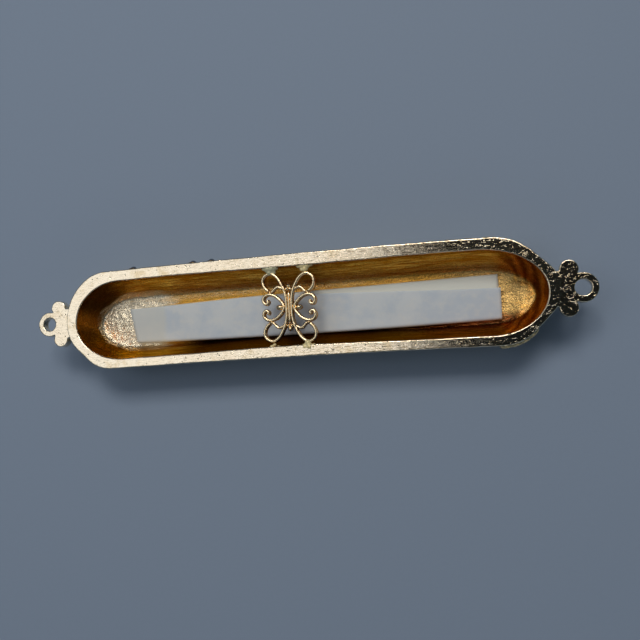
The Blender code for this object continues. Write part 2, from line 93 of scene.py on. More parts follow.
# Lugs: scale and place across the case, by the sign of X.
LUG_THICKNESS = 1.7 * MM
LUG_ROOT_X = 43.55 * MM
RING_R = 2.45 * MM
RING_HOLE_R = 1.4 * MM
LOBE_R = 1.5 * MM
LOBE_BACK = 4.7 * MM
LOBE_Y = 3.2 * MM
LOBE_SKEW = 0.2 * MM
LUGS = {1: (1.0, -0.45 * MM), -1: (0.93, -0.2 * MM)}

# Relief.
BORDER_R = 0.5 * MM
BORDER_INSET = 3.8 * MM
EDGE_CRYSTAL_Z = 8.35 * MM
EDGE_CRYSTAL_R = 0.62 * MM
FIELD_CRYSTAL_R = 0.9 * MM
FIELD_SINK = 0.22 * MM
CUP_WALL = 0.28 * MM
LEAF = (1.9 * MM, 0.85 * MM, 0.42 * MM)
CORNER_LEAF = (1.25 * MM, 0.8 * MM, 0.5 * MM)

# Bridge.
BRIDGE_X = -1.45 * MM
BRIDGE_Y = -0.15 * MM
BRIDGE_Z = (BRIDGE_LOW.z + BRIDGE_HIGH.z) / 2
BRIDGE_LEAN = 0.05
WIRE_HALF = (0.28 * MM, 0.72 * MM)
SMALL_WIRE_HALF = (0.25 * MM, 0.6 * MM)
GRANULE_R = 0.42 * MM
GRANULE_STRETCH = 1.5
COLLAR = (0.48 * MM, 0.27 * MM, 0.68 * MM)
DROP = (0.7 * MM, 0.5 * MM, 0.6 * MM)

# Mesh resolution.
QUARTER = 191  # points in each quarter of the case's rings


# ---------------------------------------------------------------- shapes


def add_piece(name, mesh, slots, body="case", smooth=True):
    """A named piece with its materials, riding on a body."""
    obj = bpy.data.objects.new(name, mesh)
    bpy.context.scene.collection.objects.link(obj)
    for mat in slots:
        mesh.materials.append(mat)
    if smooth:
        mesh.shade_smooth()
    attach(obj, body)
    return obj


def mesh_of(bm, name):
    """Mesh data from a bmesh, faces pointing out."""
    bmesh.ops.recalc_face_normals(bm, faces=bm.faces)
    mesh = bpy.data.meshes.new(name)
    bm.to_mesh(mesh)
    bm.free()
    return mesh


def arc(cx, cy, radius, start, end, steps):
    """Points along an arc, with both ends."""
    angles = np.linspace(start, end, steps + 1)
    return np.stack([cx + radius * np.cos(angles), cy + radius * np.sin(angles)], -1)


def resample(points, count):
    """The same open line with a number of points at equal steps."""
    points = np.asarray(points, float)
    run = np.r_[0, np.cumsum(np.linalg.norm(np.diff(points, axis=0), axis=1))]
    at = np.linspace(0, run[-1], count)
    return np.stack([np.interp(at, run, points[:, k]) for k in range(points.shape[1])], -1)


def bow(x):
    """How far the casting's middle line lies towards +Y at a place along the case."""
    return BOW * (1 / 3 - (x / HALF_LENGTH) ** 2)


def all_round(quarter, *sizes):
    """A closed ring from a function for its quarters, each from a tip to the middle of a side."""
    q = {signs: resample(quarter(signs, *sizes), QUARTER) * signs for signs in CORNERS}
    return np.concatenate([q[1, 1], q[-1, 1][-2::-1], q[-1, -1][1:], q[1, -1][-2:0:-1]])


def case_quarter(signs, inset):
    """One quarter of the case's outline, drawn in."""
    corner_x, corner_r = CORNERS[signs]
    corner_y = HALF_WIDTH - corner_r
    reach = corner_x * math.cos(SLANT) + corner_y * math.sin(SLANT) + corner_r
    nose_x = (NOSE_TIP - reach) / (1 - math.cos(SLANT))
    nose = arc(nose_x, 0, NOSE_TIP - nose_x - inset, 0, SLANT, 24)
    corner = arc(corner_x, corner_y, corner_r - inset, SLANT, math.pi / 2, 16)
    return np.concatenate([nose, corner, [(0, HALF_WIDTH - inset)]])


def case_ring(inset):
    """The case's outline, drawn in."""
    return all_round(case_quarter, inset)


def waist(x):
    """How far the cavity's sides come in at a place along the case."""
    x = np.minimum(np.abs(x), WAIST_HALF_LENGTH)
    return WAIST * (1 + np.cos(math.pi * x / WAIST_HALF_LENGTH)) / 2


def cavity_quarter(signs, side_inset, end_inset):
    """One quarter of the cavity's outline, drawn in."""
    half = CAVITY_HALF_WIDTH - side_inset
    end_x = CAVITY_ENDS[signs]
    ellipse = arc(0, 0, 1, 0, math.pi / 2, 60) * (CAVITY_TIP - end_inset - end_x, half) + (end_x, 0)
    x = np.linspace(WAIST_HALF_LENGTH, 0, 20)
    return np.concatenate([ellipse, np.stack([x, half - waist(x)], -1)])


def cavity_ring(side_inset, end_inset):
    """The cavity's outline, drawn in."""
    return all_round(cavity_quarter, side_inset, end_inset) + (0, CAVITY_Y)


def grain(points, scale, seed=0.0, octaves=3):
    """Fractal noise at each point, about -1 to 1, with features of a given size in metres."""
    shift = Vector((seed, seed * 1.7, -seed))
    rows = []
    for p in points:
        place = Vector(p) / scale + shift
        rows.append(noise.fractal(place, 1.0, 2.0, octaves))
    return np.array(rows)


def smooth_step(x, low, high):
    """0 below low, 1 above high, eased between."""
    t = np.clip((x - low) / (high - low), 0, 1)
    return t * t * (3 - 2 * t)


OUTSIDE, RIM, CAVITY = range(3)


def skin_levels():
    """Rings from the front face up the outside, over the rim and down to the cavity floor.

    Each is (ring, height, surface).
    """
    levels = []
    depth = HEIGHT - FACE_Z
    for k in (0.35, 0.6, 0.8, 0.92):
        levels.append((case_ring(FACE_INSET) * (1, k), FACE_Z, OUTSIDE))
    for degrees in np.linspace(90, 2, 22):
        theta = math.radians(degrees)
        ring = case_ring(FACE_INSET * (1 - math.cos(theta)))
        levels.append((ring, HEIGHT - depth * math.sin(theta), OUTSIDE))
    turns = [math.radians(a) for a in (22, 45, 68, 90)]
    for a in turns:
        levels.append((case_ring(EDGE_R * (1 - math.cos(a))), HEIGHT - EDGE_R * (1 - math.sin(a)), RIM))
    outer, inner = case_ring(EDGE_R), cavity_ring(-EDGE_R, -EDGE_R)
    for k in np.linspace(0.1, 1.0, 10):
        levels.append((outer * (1 - k) + inner * k, HEIGHT, RIM))
    for a in turns:
        out = EDGE_R * (math.sin(a) - 1)
        levels.append((cavity_ring(out, out), HEIGHT - EDGE_R * (1 - math.cos(a)), RIM))
    wall_draw, wall_depth = WALL_SHAPE
    line = through([(draw * wall_draw, sink * wall_depth) for draw, sink in CAVITY_WALL])
    wall = resample(line, 34)[2:] / WALL_SHAPE
    for draw, sink in wall:
        ring = cavity_ring(CAVITY_DRAW_SIDE * draw, CAVITY_DRAW_END * draw)
        levels.append((ring, HEIGHT - CAVITY_DEPTH * min(sink, 1.0), CAVITY))
    floor = cavity_ring(CAVITY_DRAW_SIDE, CAVITY_DRAW_END)
    for k in np.linspace(0.95, 0.05, 16):
        levels.append((floor * (1 - 0.08 * (1 - k), k), FLOOR_Z, CAVITY))
    return levels


def skin_faces(levels):
    """Faces between the rings and across the first and last one, and the surface of each face."""
    count = len(levels[0][0])
    faces, face_kind = [], []
    for i in range(len(levels) - 1):
        for j in range(count):
            n = (j + 1) % count
            faces.append((i * count + j, i * count + n, (i + 1) * count + n, (i + 1) * count + j))
            face_kind.append(levels[i + 1][2])
    for level in (0, len(levels) - 1):
        for j in range(count // 2):
            quad = [level * count + k for k in (j, j + 1, count - j - 1, (count - j) % count)]
            quad = list(dict.fromkeys(quad))
            faces.append(quad if level else quad[::-1])
            face_kind.append(levels[level][2])
    return faces, face_kind


def dish_floor(points, inside):
    """Raise the floor at the +X end of the cavity, where it sweeps up into the wall."""
    half_long = CAVITY_TIP - CAVITY_DRAW_END - DISH_X
    ellipse = np.hypot((points[:, 0] - DISH_X) / half_long, points[:, 1] / DISH_HALF_WIDTH)
    dish = smooth_step(ellipse, 0.45, 1.15) * smooth_step(points[:, 0], DISH_X + 4.6 * MM, DISH_X + 8 * MM)
    climb = np.clip((points[:, 2] - FLOOR_Z) / (4.5 * MM), 0, 1)
    points[inside, 2] += (dish * (1 - climb) ** 2 * DISH_RISE)[inside]


def build_skin(materials):
    """The casting's whole surface as one closed mesh, with its cast and filed unevenness."""
    levels = skin_levels()
    count = len(levels[0][0])
    points = np.concatenate([np.c_[ring, np.full(count, z)] for ring, z, _ in levels])
    points[:, 1] += bow(points[:, 0])
    kind = np.repeat([k for _, _, k in levels], count)
    faces, face_kind = skin_faces(levels)
    mesh = bpy.data.meshes.new("case_body")
    mesh.from_pydata(points.tolist(), [], faces)
    normals = np.zeros(len(points) * 3, np.float32)
    mesh.vertices.foreach_get("normal", normals)
    normals = normals.reshape(-1, 3).astype(float)
    shift = np.zeros(len(points))
    inside, rim, out = kind == CAVITY, kind == RIM, kind == OUTSIDE
    dish_floor(points, inside)
    # The inside is cast rough, most of all low down at the left end.
    hollow = points[inside]
    low = smooth_step(-hollow[:, 2], -FLOOR_Z - 1.2 * MM, -FLOOR_Z - 0.2 * MM)
    left = smooth_step(-hollow[:, 0], 26 * MM, 34 * MM)
    lumps = 0.02 + 0.03 * low + 0.06 * low * left
    shift[inside] += grain(hollow * (0.35, 1.0, 1.0), 1.6 * MM, 3.0) * 0.05 * MM
    shift[inside] += grain(hollow, 0.7 * MM, 9.0) * lumps * MM
    shift[out] += grain(points[out], 3.0 * MM, 5.0) * 0.04 * MM
    points += normals * shift[:, None]
    # The two edges of the filed rim wander a little and are nicked here and there.
    flat = points[rim] * (1, 1, 0)
    wander = grain(flat, 5.0 * MM, 11.0) * 0.07 * MM + grain(flat, 0.8 * MM, 2.0) * 0.025 * MM
    points[rim, 1] += wander * np.clip(points[rim, 1] / (4 * MM), -1, 1)
    dished = grain(points[rim], 1.3 * MM, 7.0) * 0.006 * MM - 0.006 * MM
    points[rim, 2] += dished
    points[:, 2] = np.minimum(points[:, 2], HEIGHT)
    mesh.vertices.foreach_set("co", points.astype(np.float32).ravel())
    obj = add_piece("case_body", mesh, materials)
    mesh.polygons.foreach_set("material_index", np.array(face_kind, np.int32))
    mesh.update()
    return obj


def sweep(path, section, closed=False, scales=None, up=(0, 0, 1)):
    """A bmesh tube along a path, its section given as (across, up) pairs."""
    path = [Vector(p) for p in path]
    count = len(path)
    bm = bmesh.new()
    rings = []
    for i, p in enumerate(path):
        if closed:
            along = path[(i + 1) % count] - path[i - 1]
        else:
            along = path[min(i + 1, count - 1)] - path[max(i - 1, 0)]
        across = along.cross(Vector(up)).normalized()
        rise = across.cross(along).normalized()
        size = 1.0 if scales is None else scales[i]
        rings.append([bm.verts.new(p + across * (a * size) + rise * (b * size)) for a, b in section])
    pairs = list(zip(rings, rings[1:]))
    if closed:
        pairs.append((rings[-1], rings[0]))
    sides = len(section)
    for one, two in pairs:
        for i in range(sides):
            j = (i + 1) % sides
            bm.faces.new((one[i], one[j], two[j], two[i]))
    if not closed:
        bm.faces.new(rings[0])
        bm.faces.new(rings[-1])
    return bm


def rounded(half_wide, half_high, power=0.6, steps=16):
    """A rounded-rectangle section."""
    points = []
    for i in range(steps):
        a = 2 * math.pi * (i + 0.5) / steps
        c, s = math.cos(a), math.sin(a)
        across = half_wide * math.copysign(abs(c) ** power, c)
        points.append((across, half_high * math.copysign(abs(s) ** power, s)))
    return points


def through(points, steps=10):
    """A smooth line through points (Catmull-Rom)."""
    p = [np.array(q, float) for q in points]
    p = [2 * p[0] - p[1], *p, 2 * p[-1] - p[-2]]
    line = []
    for a, b, c, d in zip(p, p[1:], p[2:], p[3:]):
        bend = 2 * a - 5 * b + 4 * c - d
        turn = 3 * b - a - 3 * c + d
        for i in range(steps):
            t = i / steps
            line.append(0.5 * (2 * b + (c - a) * t + bend * t**2 + turn * t**3))
    line.append(p[-2])
    return line


def skin_over(obj, voxel, rounds):
    """Draw an object's mesh into one skin with softened edges."""
    skin = obj.modifiers.new("one_skin", "REMESH")
    skin.mode = "VOXEL"
    skin.voxel_size = voxel
    ease = obj.modifiers.new("ease", "SMOOTH")
    ease.iterations = rounds
    graph = bpy.context.evaluated_depsgraph_get()
    final = bpy.data.meshes.new_from_object(obj.evaluated_get(graph))
    obj.modifiers.clear()
    obj.data = final
    final.shade_smooth()
    return final


def lug_half(scale, lobe_back):
    """The +Y half of a lug's outline: the root, a lobe, and half of the ring."""
    lobe_x, lobe_y = HALF_LENGTH - lobe_back * scale, LOBE_Y * scale
    lobe = arc(lobe_x, lobe_y, LOBE_R * scale, math.radians(190), math.radians(-20), 30)
    ring = arc(HALF_LENGTH - RING_R * scale, 0, RING_R * scale, math.radians(122), 0, 24)
    return np.concatenate([[(LUG_ROOT_X, lobe_y - 0.2 * MM)], lobe, ring])


def lug(side, materials):
    """Two lobes and a nail ring in one soft-edged plate, level with the rim."""
    scale, lug_y = LUGS[side]
    upper = lug_half(scale, LOBE_BACK - LOBE_SKEW)
    lower = lug_half(scale, LOBE_BACK + LOBE_SKEW) * (1, -1)
    hole = arc(HALF_LENGTH - RING_R * scale, 0, RING_HOLE_R * scale, 0, 2 * math.pi, 48)[:-1]
    curve = bpy.data.curves.new("lug_blank", "CURVE")
    curve.dimensions = "2D"
    curve.fill_mode = "BOTH"
    curve.extrude = LUG_THICKNESS / 2
    for points in (np.concatenate([upper, lower[-2::-1]]), hole):
        spline = curve.splines.new("POLY")
        spline.points.add(len(points) - 1)
        for point, (x, y) in zip(spline.points, points):
            point.co = (side * x, y + lug_y, 0, 1)
        spline.use_cyclic_u = True
    blank = bpy.data.objects.new("lug_blank", curve)
    bpy.context.scene.collection.objects.link(blank)
    graph = bpy.context.evaluated_depsgraph_get()
    mesh = bpy.data.meshes.new_from_object(blank.evaluated_get(graph))
    bpy.data.objects.remove(blank)
    mesh.transform(Matrix.Translation((0, 0, HEIGHT - LUG_THICKNESS / 2)))
    bm = bmesh.new()
    bm.from_mesh(mesh)
    bmesh.ops.remove_doubles(bm, verts=bm.verts, dist=0.001 * MM)
    plate = add_piece(f"lug_{'right' if side > 0 else 'left'}", mesh_of(bm, "lug"), materials)
    final = skin_over(plate, 0.11 * MM, 14)
    for v in final.vertices:
        v.co += v.normal * (0.05 * MM + noise.noise(v.co / (1.1 * MM)) * 0.03 * MM)
        v.co.z = min(v.co.z, HEIGHT - 0.012 * MM)
        v.co.x = side * min(side * v.co.x, HALF_LENGTH)
    return plate


# ---------------------------------------------------------------- relief


def frame_at(position, normal, along=Vector((1, 0, 0))):
    """A matrix at a place whose Z is the normal and whose X is nearest to a direction."""
    z = Vector(normal).normalized()
    y = z.cross(along).normalized()
    x = y.cross(z)
    return Matrix.Translation(position) @ Matrix((x, y, z)).transposed().to_4x4()


def side_frame(x, height, side):
    """A frame on the straight outer side of the case, facing out."""
    theta = math.asin((HEIGHT - height) / (HEIGHT - FACE_Z))
    inset = FACE_INSET * (1 - math.cos(theta))
    place = (x, side * (HALF_WIDTH - inset) + bow(x), height)
    out = (0, side * (HEIGHT - FACE_Z) * math.cos(theta), -FACE_INSET * math.sin(theta))
    return frame_at(place, out)


def corner_frame(turn, height, side):
    """A frame on the +X corner arc of the case, facing out."""
    theta = math.asin((HEIGHT - height) / (HEIGHT - FACE_Z))
    inset = FACE_INSET * (1 - math.cos(theta))
    corner_x, corner_r = CORNERS[1, side]
    x = corner_x + (corner_r - inset) * math.cos(turn)
    y = side * (HALF_WIDTH - corner_r + (corner_r - inset) * math.sin(turn)) + bow(x)
    out = (math.cos(turn), side * math.sin(turn), -0.3 * math.sin(theta))
    return frame_at((x, y, height), out, Vector((-side * out[1], side * out[0], 0)))


def leaf_mesh(name, place, turn, size):
    """A pointed leaf with a midrib groove, half sunk in the surface."""
    half_long, half_wide, thick = size
    bm = bmesh.new()
    rows, sides = 17, 12
    rings = []
    for i in range(rows):
        t = -1 + 2 * i / (rows - 1)
        wide = half_wide * (1 - abs(t) ** 2.2) ** 0.9 + 0.02 * MM
        tall = thick * (1 - abs(t) ** 3) ** 0.7 + 0.02 * MM
        row = []
        for j in range(sides):
            a = 2 * math.pi * j / sides
            groove = 0.28 * math.exp(-((math.cos(a) * 3.2) ** 2)) if math.sin(a) > 0 else 0.0
            vein = 0.05 * math.sin(14 * t + 2.5 * abs(math.cos(a)))
            rise = tall * math.sin(a) * (1 - groove + vein)
            row.append(bm.verts.new((half_long * t, wide * math.cos(a), rise)))
        rings.append(row)
    for one, two in zip(rings, rings[1:]):
        for j in range(sides):
            n = (j + 1) % sides
            bm.faces.new((one[j], one[n], two[n], two[j]))
    bm.faces.new(rings[0])
    bm.faces.new(rings[-1])
    bmesh.ops.transform(bm, matrix=place @ Matrix.Rotation(turn, 4, "Z"), verts=bm.verts)
    return mesh_of(bm, name)


def cup_mesh(name, place, radius):
    """The rolled lip of a stone's cup."""
    lip = radius + CUP_WALL * 0.55
    ring = [place @ Vector((x, y, -0.1 * radius)) for x, y in arc(0, 0, lip, 0, 2 * math.pi, 32)[:-1]]
    normal = place.to_3x3() @ Vector((0, 0, 1))
    bm = sweep(ring, rounded(CUP_WALL * 0.45, 0.36 * radius, 0.8, 12), closed=True, up=normal)
    return mesh_of(bm, name)


def rope_mesh(name):
    """The twisted rope border on the front face."""
    ring = case_ring(BORDER_INSET)
    ring[:, 1] += bow(ring[:, 0])
    path = resample(np.concatenate([ring, ring[:1]]), 901)[:-1]
    bm = bmesh.new()
    sides = 14
    rows = []
    for i, (x, y) in enumerate(path):
        ahead = path[(i + 1) % len(path)] - path[i - 1]
        across = np.array([ahead[1], -ahead[0]]) / np.hypot(*ahead)
        row = []
        for j in range(sides):
            a = 2 * math.pi * j / sides
            twist = 0.84 + 0.16 * abs(math.sin(1.5 * a + i * math.pi / 9))
            reach = BORDER_R * twist
            out = across * reach * math.cos(a)
            row.append(bm.verts.new((x + out[0], y + out[1], BORDER_R + reach * math.sin(a))))
        rows.append(row)
    for one, two in zip(rows, rows[1:] + rows[:1]):
        for j in range(sides):
            n = (j + 1) % sides
            bm.faces.new((one[j], one[n], two[n], two[j]))
    return mesh_of(bm, name)


def build_relief(materials):
    """The rope border, leaves and cups, placed round the frame's stones."""
    dark = aged_gold()
    made = [add_piece("rope_border", rope_mesh("rope_border"), materials)]

    def leaf(name, place, turn, size):
        made.append(add_piece(name, leaf_mesh(name, place, turn, size), materials))

    def cup(name, place, radius):
        made.append(add_piece(name, cup_mesh(name, place, radius), [dark]))

    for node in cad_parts:
        if not node.startswith("crystal_"):
            continue
        low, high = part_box(node)
        x = (low.x + high.x) / 2
        if node.startswith("crystal_front"):
            cup(f"cup_{node}", frame_at((x, bow(x), FACE_Z + FIELD_SINK), (0, 0, -1)), FIELD_CRYSTAL_R)
            for side in (-1, 1):
                for end in (-1, 1):
                    place = frame_at((x + end * 3.1 * MM, side * 1.7 * MM + bow(x), FACE_Z), (0, 0, -1))
                    word = f"{'b' if side < 0 else 'a'}{'l' if end < 0 else 'r'}"
                    leaf(f"leaf_{node}_{word}", place, end * side * math.radians(-32), LEAF)
        else:
            cup(f"cup_{node}", side_frame(x, EDGE_CRYSTAL_Z, 1), EDGE_CRYSTAL_R)
            for end in (-1, 1):
                place = side_frame(x + end * 1.0 * MM, 5.9 * MM, 1)
                leaf(f"leaf_{node}_{'l' if end < 0 else 'r'}", place, end * math.radians(62), LEAF)
    for i in range(4):
        leaf(f"edge_leaf_{i + 1}", side_frame((24.5 + 3.2 * i) * MM, 7.6 * MM, 1), math.radians(18), LEAF)
        place = corner_frame(math.radians(88 - 14 * i), 8.3 * MM, -1)
        leaf(f"corner_leaf_{i + 1}", place, math.radians(25), CORNER_LEAF)
    return made


# ---------------------------------------------------------------- bridge


def bridge_place(x, y):
    """From the bridge's plan, in millimetres, to the case."""
    return BRIDGE_X + x * MM, BRIDGE_Y + y * MM - BRIDGE_LEAN * x * MM


def wire(name, points, half, material):
    """A tall filigree wire through plan points, its ends rounded off."""
    flat = through(points)
    path = [(*bridge_place(x, y), BRIDGE_Z) for x, y in flat]
    uneven = grain(path, 0.9 * MM, 1.0 + len(name)) * 0.05
    ends = np.minimum(np.arange(len(path)), np.arange(len(path))[::-1])
    scales = (1 + uneven) * np.interp(ends, (0, 1, 2, 3), (0.7, 0.9, 1.0, 1.0))
    bm = sweep(path, rounded(*half, 0.62, 16), scales=scales)
    obj = add_piece(name + "_wire", mesh_of(bm, name), [material])
    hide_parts(name)


def bead(name, x, y, size, material):
    """A slightly uneven granule."""
    bm = bmesh.new()
    bmesh.ops.create_icosphere(bm, subdivisions=4, radius=1.0)
    for v in bm.verts:
        v.co *= 1 + 0.05 * noise.noise(v.co * 1.6 + Vector((x, y, 0)))
        v.co = Vector((v.co.x * size[0], v.co.y * size[1], v.co.z * size[2]))
        v.co += Vector((*bridge_place(x, y), BRIDGE_Z))
    obj = add_piece(name + "_bead", mesh_of(bm, name), [material])
    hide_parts(name)


def mirrored(half):
    """A whole plan line from its upper half, which starts on the X axis."""
    return [(x, -y) for x, y in reversed(half[1:])] + half


def build_bridge(material):
    """The wires, collars, granules and drops of the filigree bridge."""
    half = [(0.48, 0), (0.52, 1.6), (0.80, 3.0), (1.28, 4.15), (2.05, 5.4), (3.15, 6.1)]
    half += [(4.25, 5.75), (4.72, 4.85), (4.52, 3.85), (4.0, 3.15), (3.66, 2.95)]
    heart = [(0.96, 0), (1.3, 0.85), (2.25, 1.85), (3.4, 2.33), (4.35, 2.1), (4.78, 1.4)]
    heart += [(4.55, 0.72), (4.08, 0.62), (3.82, 0.95), (4.0, 1.3)]
    curl = [(1.1, 3.3), (1.42, 3.5), (1.98, 3.68), (2.5, 3.4), (2.95, 2.9), (3.2, 2.8)]
    for word, sign in (("right", 1), ("left", -1)):
        wire(f"bridge_wire_{word}", [(sign * x, y) for x, y in mirrored(half)], WIRE_HALF, material)
        wire(f"bridge_heart_{word}", [(sign * x, y) for x, y in mirrored(heart)], WIRE_HALF, material)
        bead(f"bridge_drop_{word}", sign * 1.75, 0, DROP, material)
    wire("bridge_bar", [(0, -2.85), (0, 0), (0, 2.85)], SMALL_WIRE_HALF, material)
    ball = (GRANULE_R, GRANULE_R, GRANULE_R * GRANULE_STRETCH)
    for row, up in (("upper", 1), ("lower", -1)):
        for word, sign in (("right", 1), ("left", -1)):
            placed = [(sign * x, up * y) for x, y in curl]
            wire(f"bridge_curl_{row}_{word}", placed, SMALL_WIRE_HALF, material)
            bead(f"bridge_collar_{row}_{word}", sign * 3.42, up * 2.74, COLLAR, material)
            bead(f"bridge_granule_{row}_{word}", sign * 0.33, up * 3.3, ball, material)
        bead(f"bridge_granule_{row}_crown", 0, up * 3.86, ball, material)


def blob(name, lumps, seed, material):
    """A solder joint: balls drawn into one skin, each given as (x, y, z, radius, squash)."""
    bm = bmesh.new()
    for x, y, z, radius, squash in lumps:
        made = bmesh.ops.create_icosphere(bm, subdivisions=3, radius=radius)["verts"]
        for v in made:
            v.co.z *= squash
            v.co += Vector((x, y, z))
    obj = add_piece(name + "_blob", mesh_of(bm, name), [material])
    final = skin_over(obj, 0.07 * MM, 6)
    for v in final.vertices:
        v.co += v.normal * (noise.noise(v.co / (0.5 * MM) + Vector((seed, 0, 0))) * 0.07 * MM)
    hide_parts(name)


# Lumps of each solder joint: place along, place past the wall and radius in millimetres, and squash.
SOLDER = {
    "solder_upper_left": [
        (-4.4, 0.05, 0.45, 1.0), (-3.7, -0.1, 0.7, 1.0), (-2.9, -0.1, 0.75, 1.0),
        (-2.2, 0.05, 0.5, 1.0), (-3.4, -0.8, 0.55, 0.9), (-2.7, -0.75, 0.5, 0.9),
    ],
    "solder_upper_right": [
        (2.1, 0.1, 0.5, 1.0), (2.8, 0.0, 0.6, 1.0), (3.6, 0.0, 0.6, 1.0),
        (4.3, 0.15, 0.45, 1.0), (3.2, -0.55, 0.6, 0.8), (2.7, -0.6, 0.42, 0.8),
    ],
    "solder_lower_left": [(-3.5, 0.05, 0.42, 1.0), (-3.0, -0.3, 0.34, 1.0), (-2.3, 0.12, 0.3, 1.0)],
    "solder_lower_right": [
        (1.9, 0.35, 0.42, 1.0), (2.6, 0.3, 0.6, 1.0), (3.4, 0.3, 0.68, 1.0),
        (4.2, 0.35, 0.55, 1.0), (4.9, 0.4, 0.35, 1.0), (3.2, -0.4, 0.55, 0.9),
    ],
}
SOLDER_LIFT = {"solder_lower_right": 0.2 * MM}  # this joint spreads onto the rim


def build_solder(material):
    """The four solder joints, each drawn out between a corner loop and the cavity wall."""
    z = BRIDGE_HIGH.z - 0.3 * MM
    wall = CAVITY_HALF_WIDTH - WAIST
    middle = bow(BRIDGE_X) + CAVITY_Y
    for seed, (name, lumps) in enumerate(SOLDER.items()):
        side = 1 if "upper" in name else -1
        lift = SOLDER_LIFT.get(name, 0.0)
        placed = []
        for x, off, radius, squash in lumps:
            y = side * (wall + off * MM) + middle
            placed.append((BRIDGE_X + x * MM, y, z + lift, radius * MM, squash))
        blob(name, placed, seed * 3.1, material)


# ---------------------------------------------------------------- scroll


# Where the top leaf's free edge and the fold behind it lie, in millimetres across the case, at
# places along the scroll from -1 to 1.
PLACES = (-1, -0.73, -0.53, -0.33, 0, 0.27, 0.56, 0.79, 1)
FREE_EDGE = (2.2, 2.4, 2.62, 2.9, 2.62, 2.26, 1.77, 1.35, 1.1)
BACK_EDGE = (2.3, 2.65, 2.9, 3.05, 3.2, 3.3, 3.4, 3.5, 3.6)
# Where the sheet's two ends lie, in millimetres along the case, from the inner leaf to the free edge.
SCROLL_LEFT = (-30.6, -31.6, -33.7, -34.8)
SCROLL_RIGHT = (35.0, 35.25, 35.5, 35.6)


SHEET_PITCH = 0.42 * MM  # from leaf to leaf
SHEET_THICKNESS = 0.17 * MM
SHEET_GAP = 0.12 * MM  # from the scroll's box to the sheet's middle line, below and at the -Y fold
SHEET_COLUMNS = 120
SHEET_ROWS = 96


def sheet_section(free, far):
    """The sheet's line across the scroll: inner leaf, back fold, lower leaf, front fold, top leaf."""
    pitch, half = SHEET_PITCH, SHEET_PITCH / 2
    section = [(1.6 * pitch, pitch), (far - pitch, pitch)]
    for a in np.linspace(1.5, -1.5, 7):
        section.append((far - half + half * math.cos(a), half + half * math.sin(a)))
    section += [(far - pitch, 0), (pitch, 0)]
    for a in np.linspace(-1.6, -4.7, 9):
        section.append((pitch + pitch * math.cos(a), pitch + pitch * math.sin(a)))
    section += [(2 * pitch, 2 * pitch), (free, 2 * pitch)]
    return resample(section, SHEET_ROWS)


def waves(x, y, long, wide, seed):
    """Smooth noise at places on the sheet, with waves of a given length and width."""
    return np.array([noise.noise(Vector((a / long, b / wide, seed))) for a, b in zip(x, y)])


def build_scroll(materials):
    """The parchment: a sheet rolled up, pressed flat and slightly bowed, its ends askew."""
    low = SCROLL_LOW.z + SHEET_GAP
    mid_y = (SCROLL_LOW.y + SCROLL_HIGH.y) / 2
    low_fold = mid_y - ((SCROLL_HIGH.y - SCROLL_LOW.y) / 2 - SHEET_GAP)
    widest = BACK_EDGE[-1] * MM - low_fold
    s = np.linspace(0, 1, SHEET_ROWS)
    # The roll is slightly helical, so its left ends step back layer by layer.
    left = np.interp(s, (0, 0.34, 0.7, 1), SCROLL_LEFT) * MM
    right = np.interp(s, (0, 0.34, 0.7, 1), SCROLL_RIGHT) * MM
    lift = smooth_step(s, 0.72, 1.0)
    grid = []
    for along in (-1 + 2 * i / SHEET_COLUMNS for i in range(SHEET_COLUMNS + 1)):
        free = np.interp(along, PLACES, FREE_EDGE) * MM - low_fold
        far = np.interp(along, PLACES, BACK_EDGE) * MM - low_fold
        y, z = sheet_section(free, far).T
        x = left + (right - left) * (along + 1) / 2
        sag = -0.35 * MM * (1 - along**2) * (1 - y / (widest + 0.1 * MM))
        wave = waves(x, y, 9 * MM, 6 * MM, 0.5)
        ripple = waves(x, y, 3 * MM, 2.5 * MM, 4.5)
        curl = 0.18 * MM * abs(along) ** 14 * lift
        rise = lift * (0.10 * MM * wave + 0.03 * MM * ripple + 0.14 * MM)
        grid.append(np.stack([x, low_fold + y + sag, low + z + rise + curl], -1))
    faces = []
    for i in range(SHEET_COLUMNS):
        for j in range(SHEET_ROWS - 1):
            a = i * SHEET_ROWS + j
            faces.append((a, a + 1, a + SHEET_ROWS + 1, a + SHEET_ROWS))
    mesh = bpy.data.meshes.new("parchment")
    mesh.from_pydata(np.concatenate(grid).tolist(), [], faces)
    obj = add_piece("parchment", mesh, materials, body="scroll")
    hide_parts("parchment_scroll")
    thick = obj.modifiers.new("sheet", "SOLIDIFY")
    thick.thickness = SHEET_THICKNESS
    thick.offset = 0


# ---------------------------------------------------------------- materials


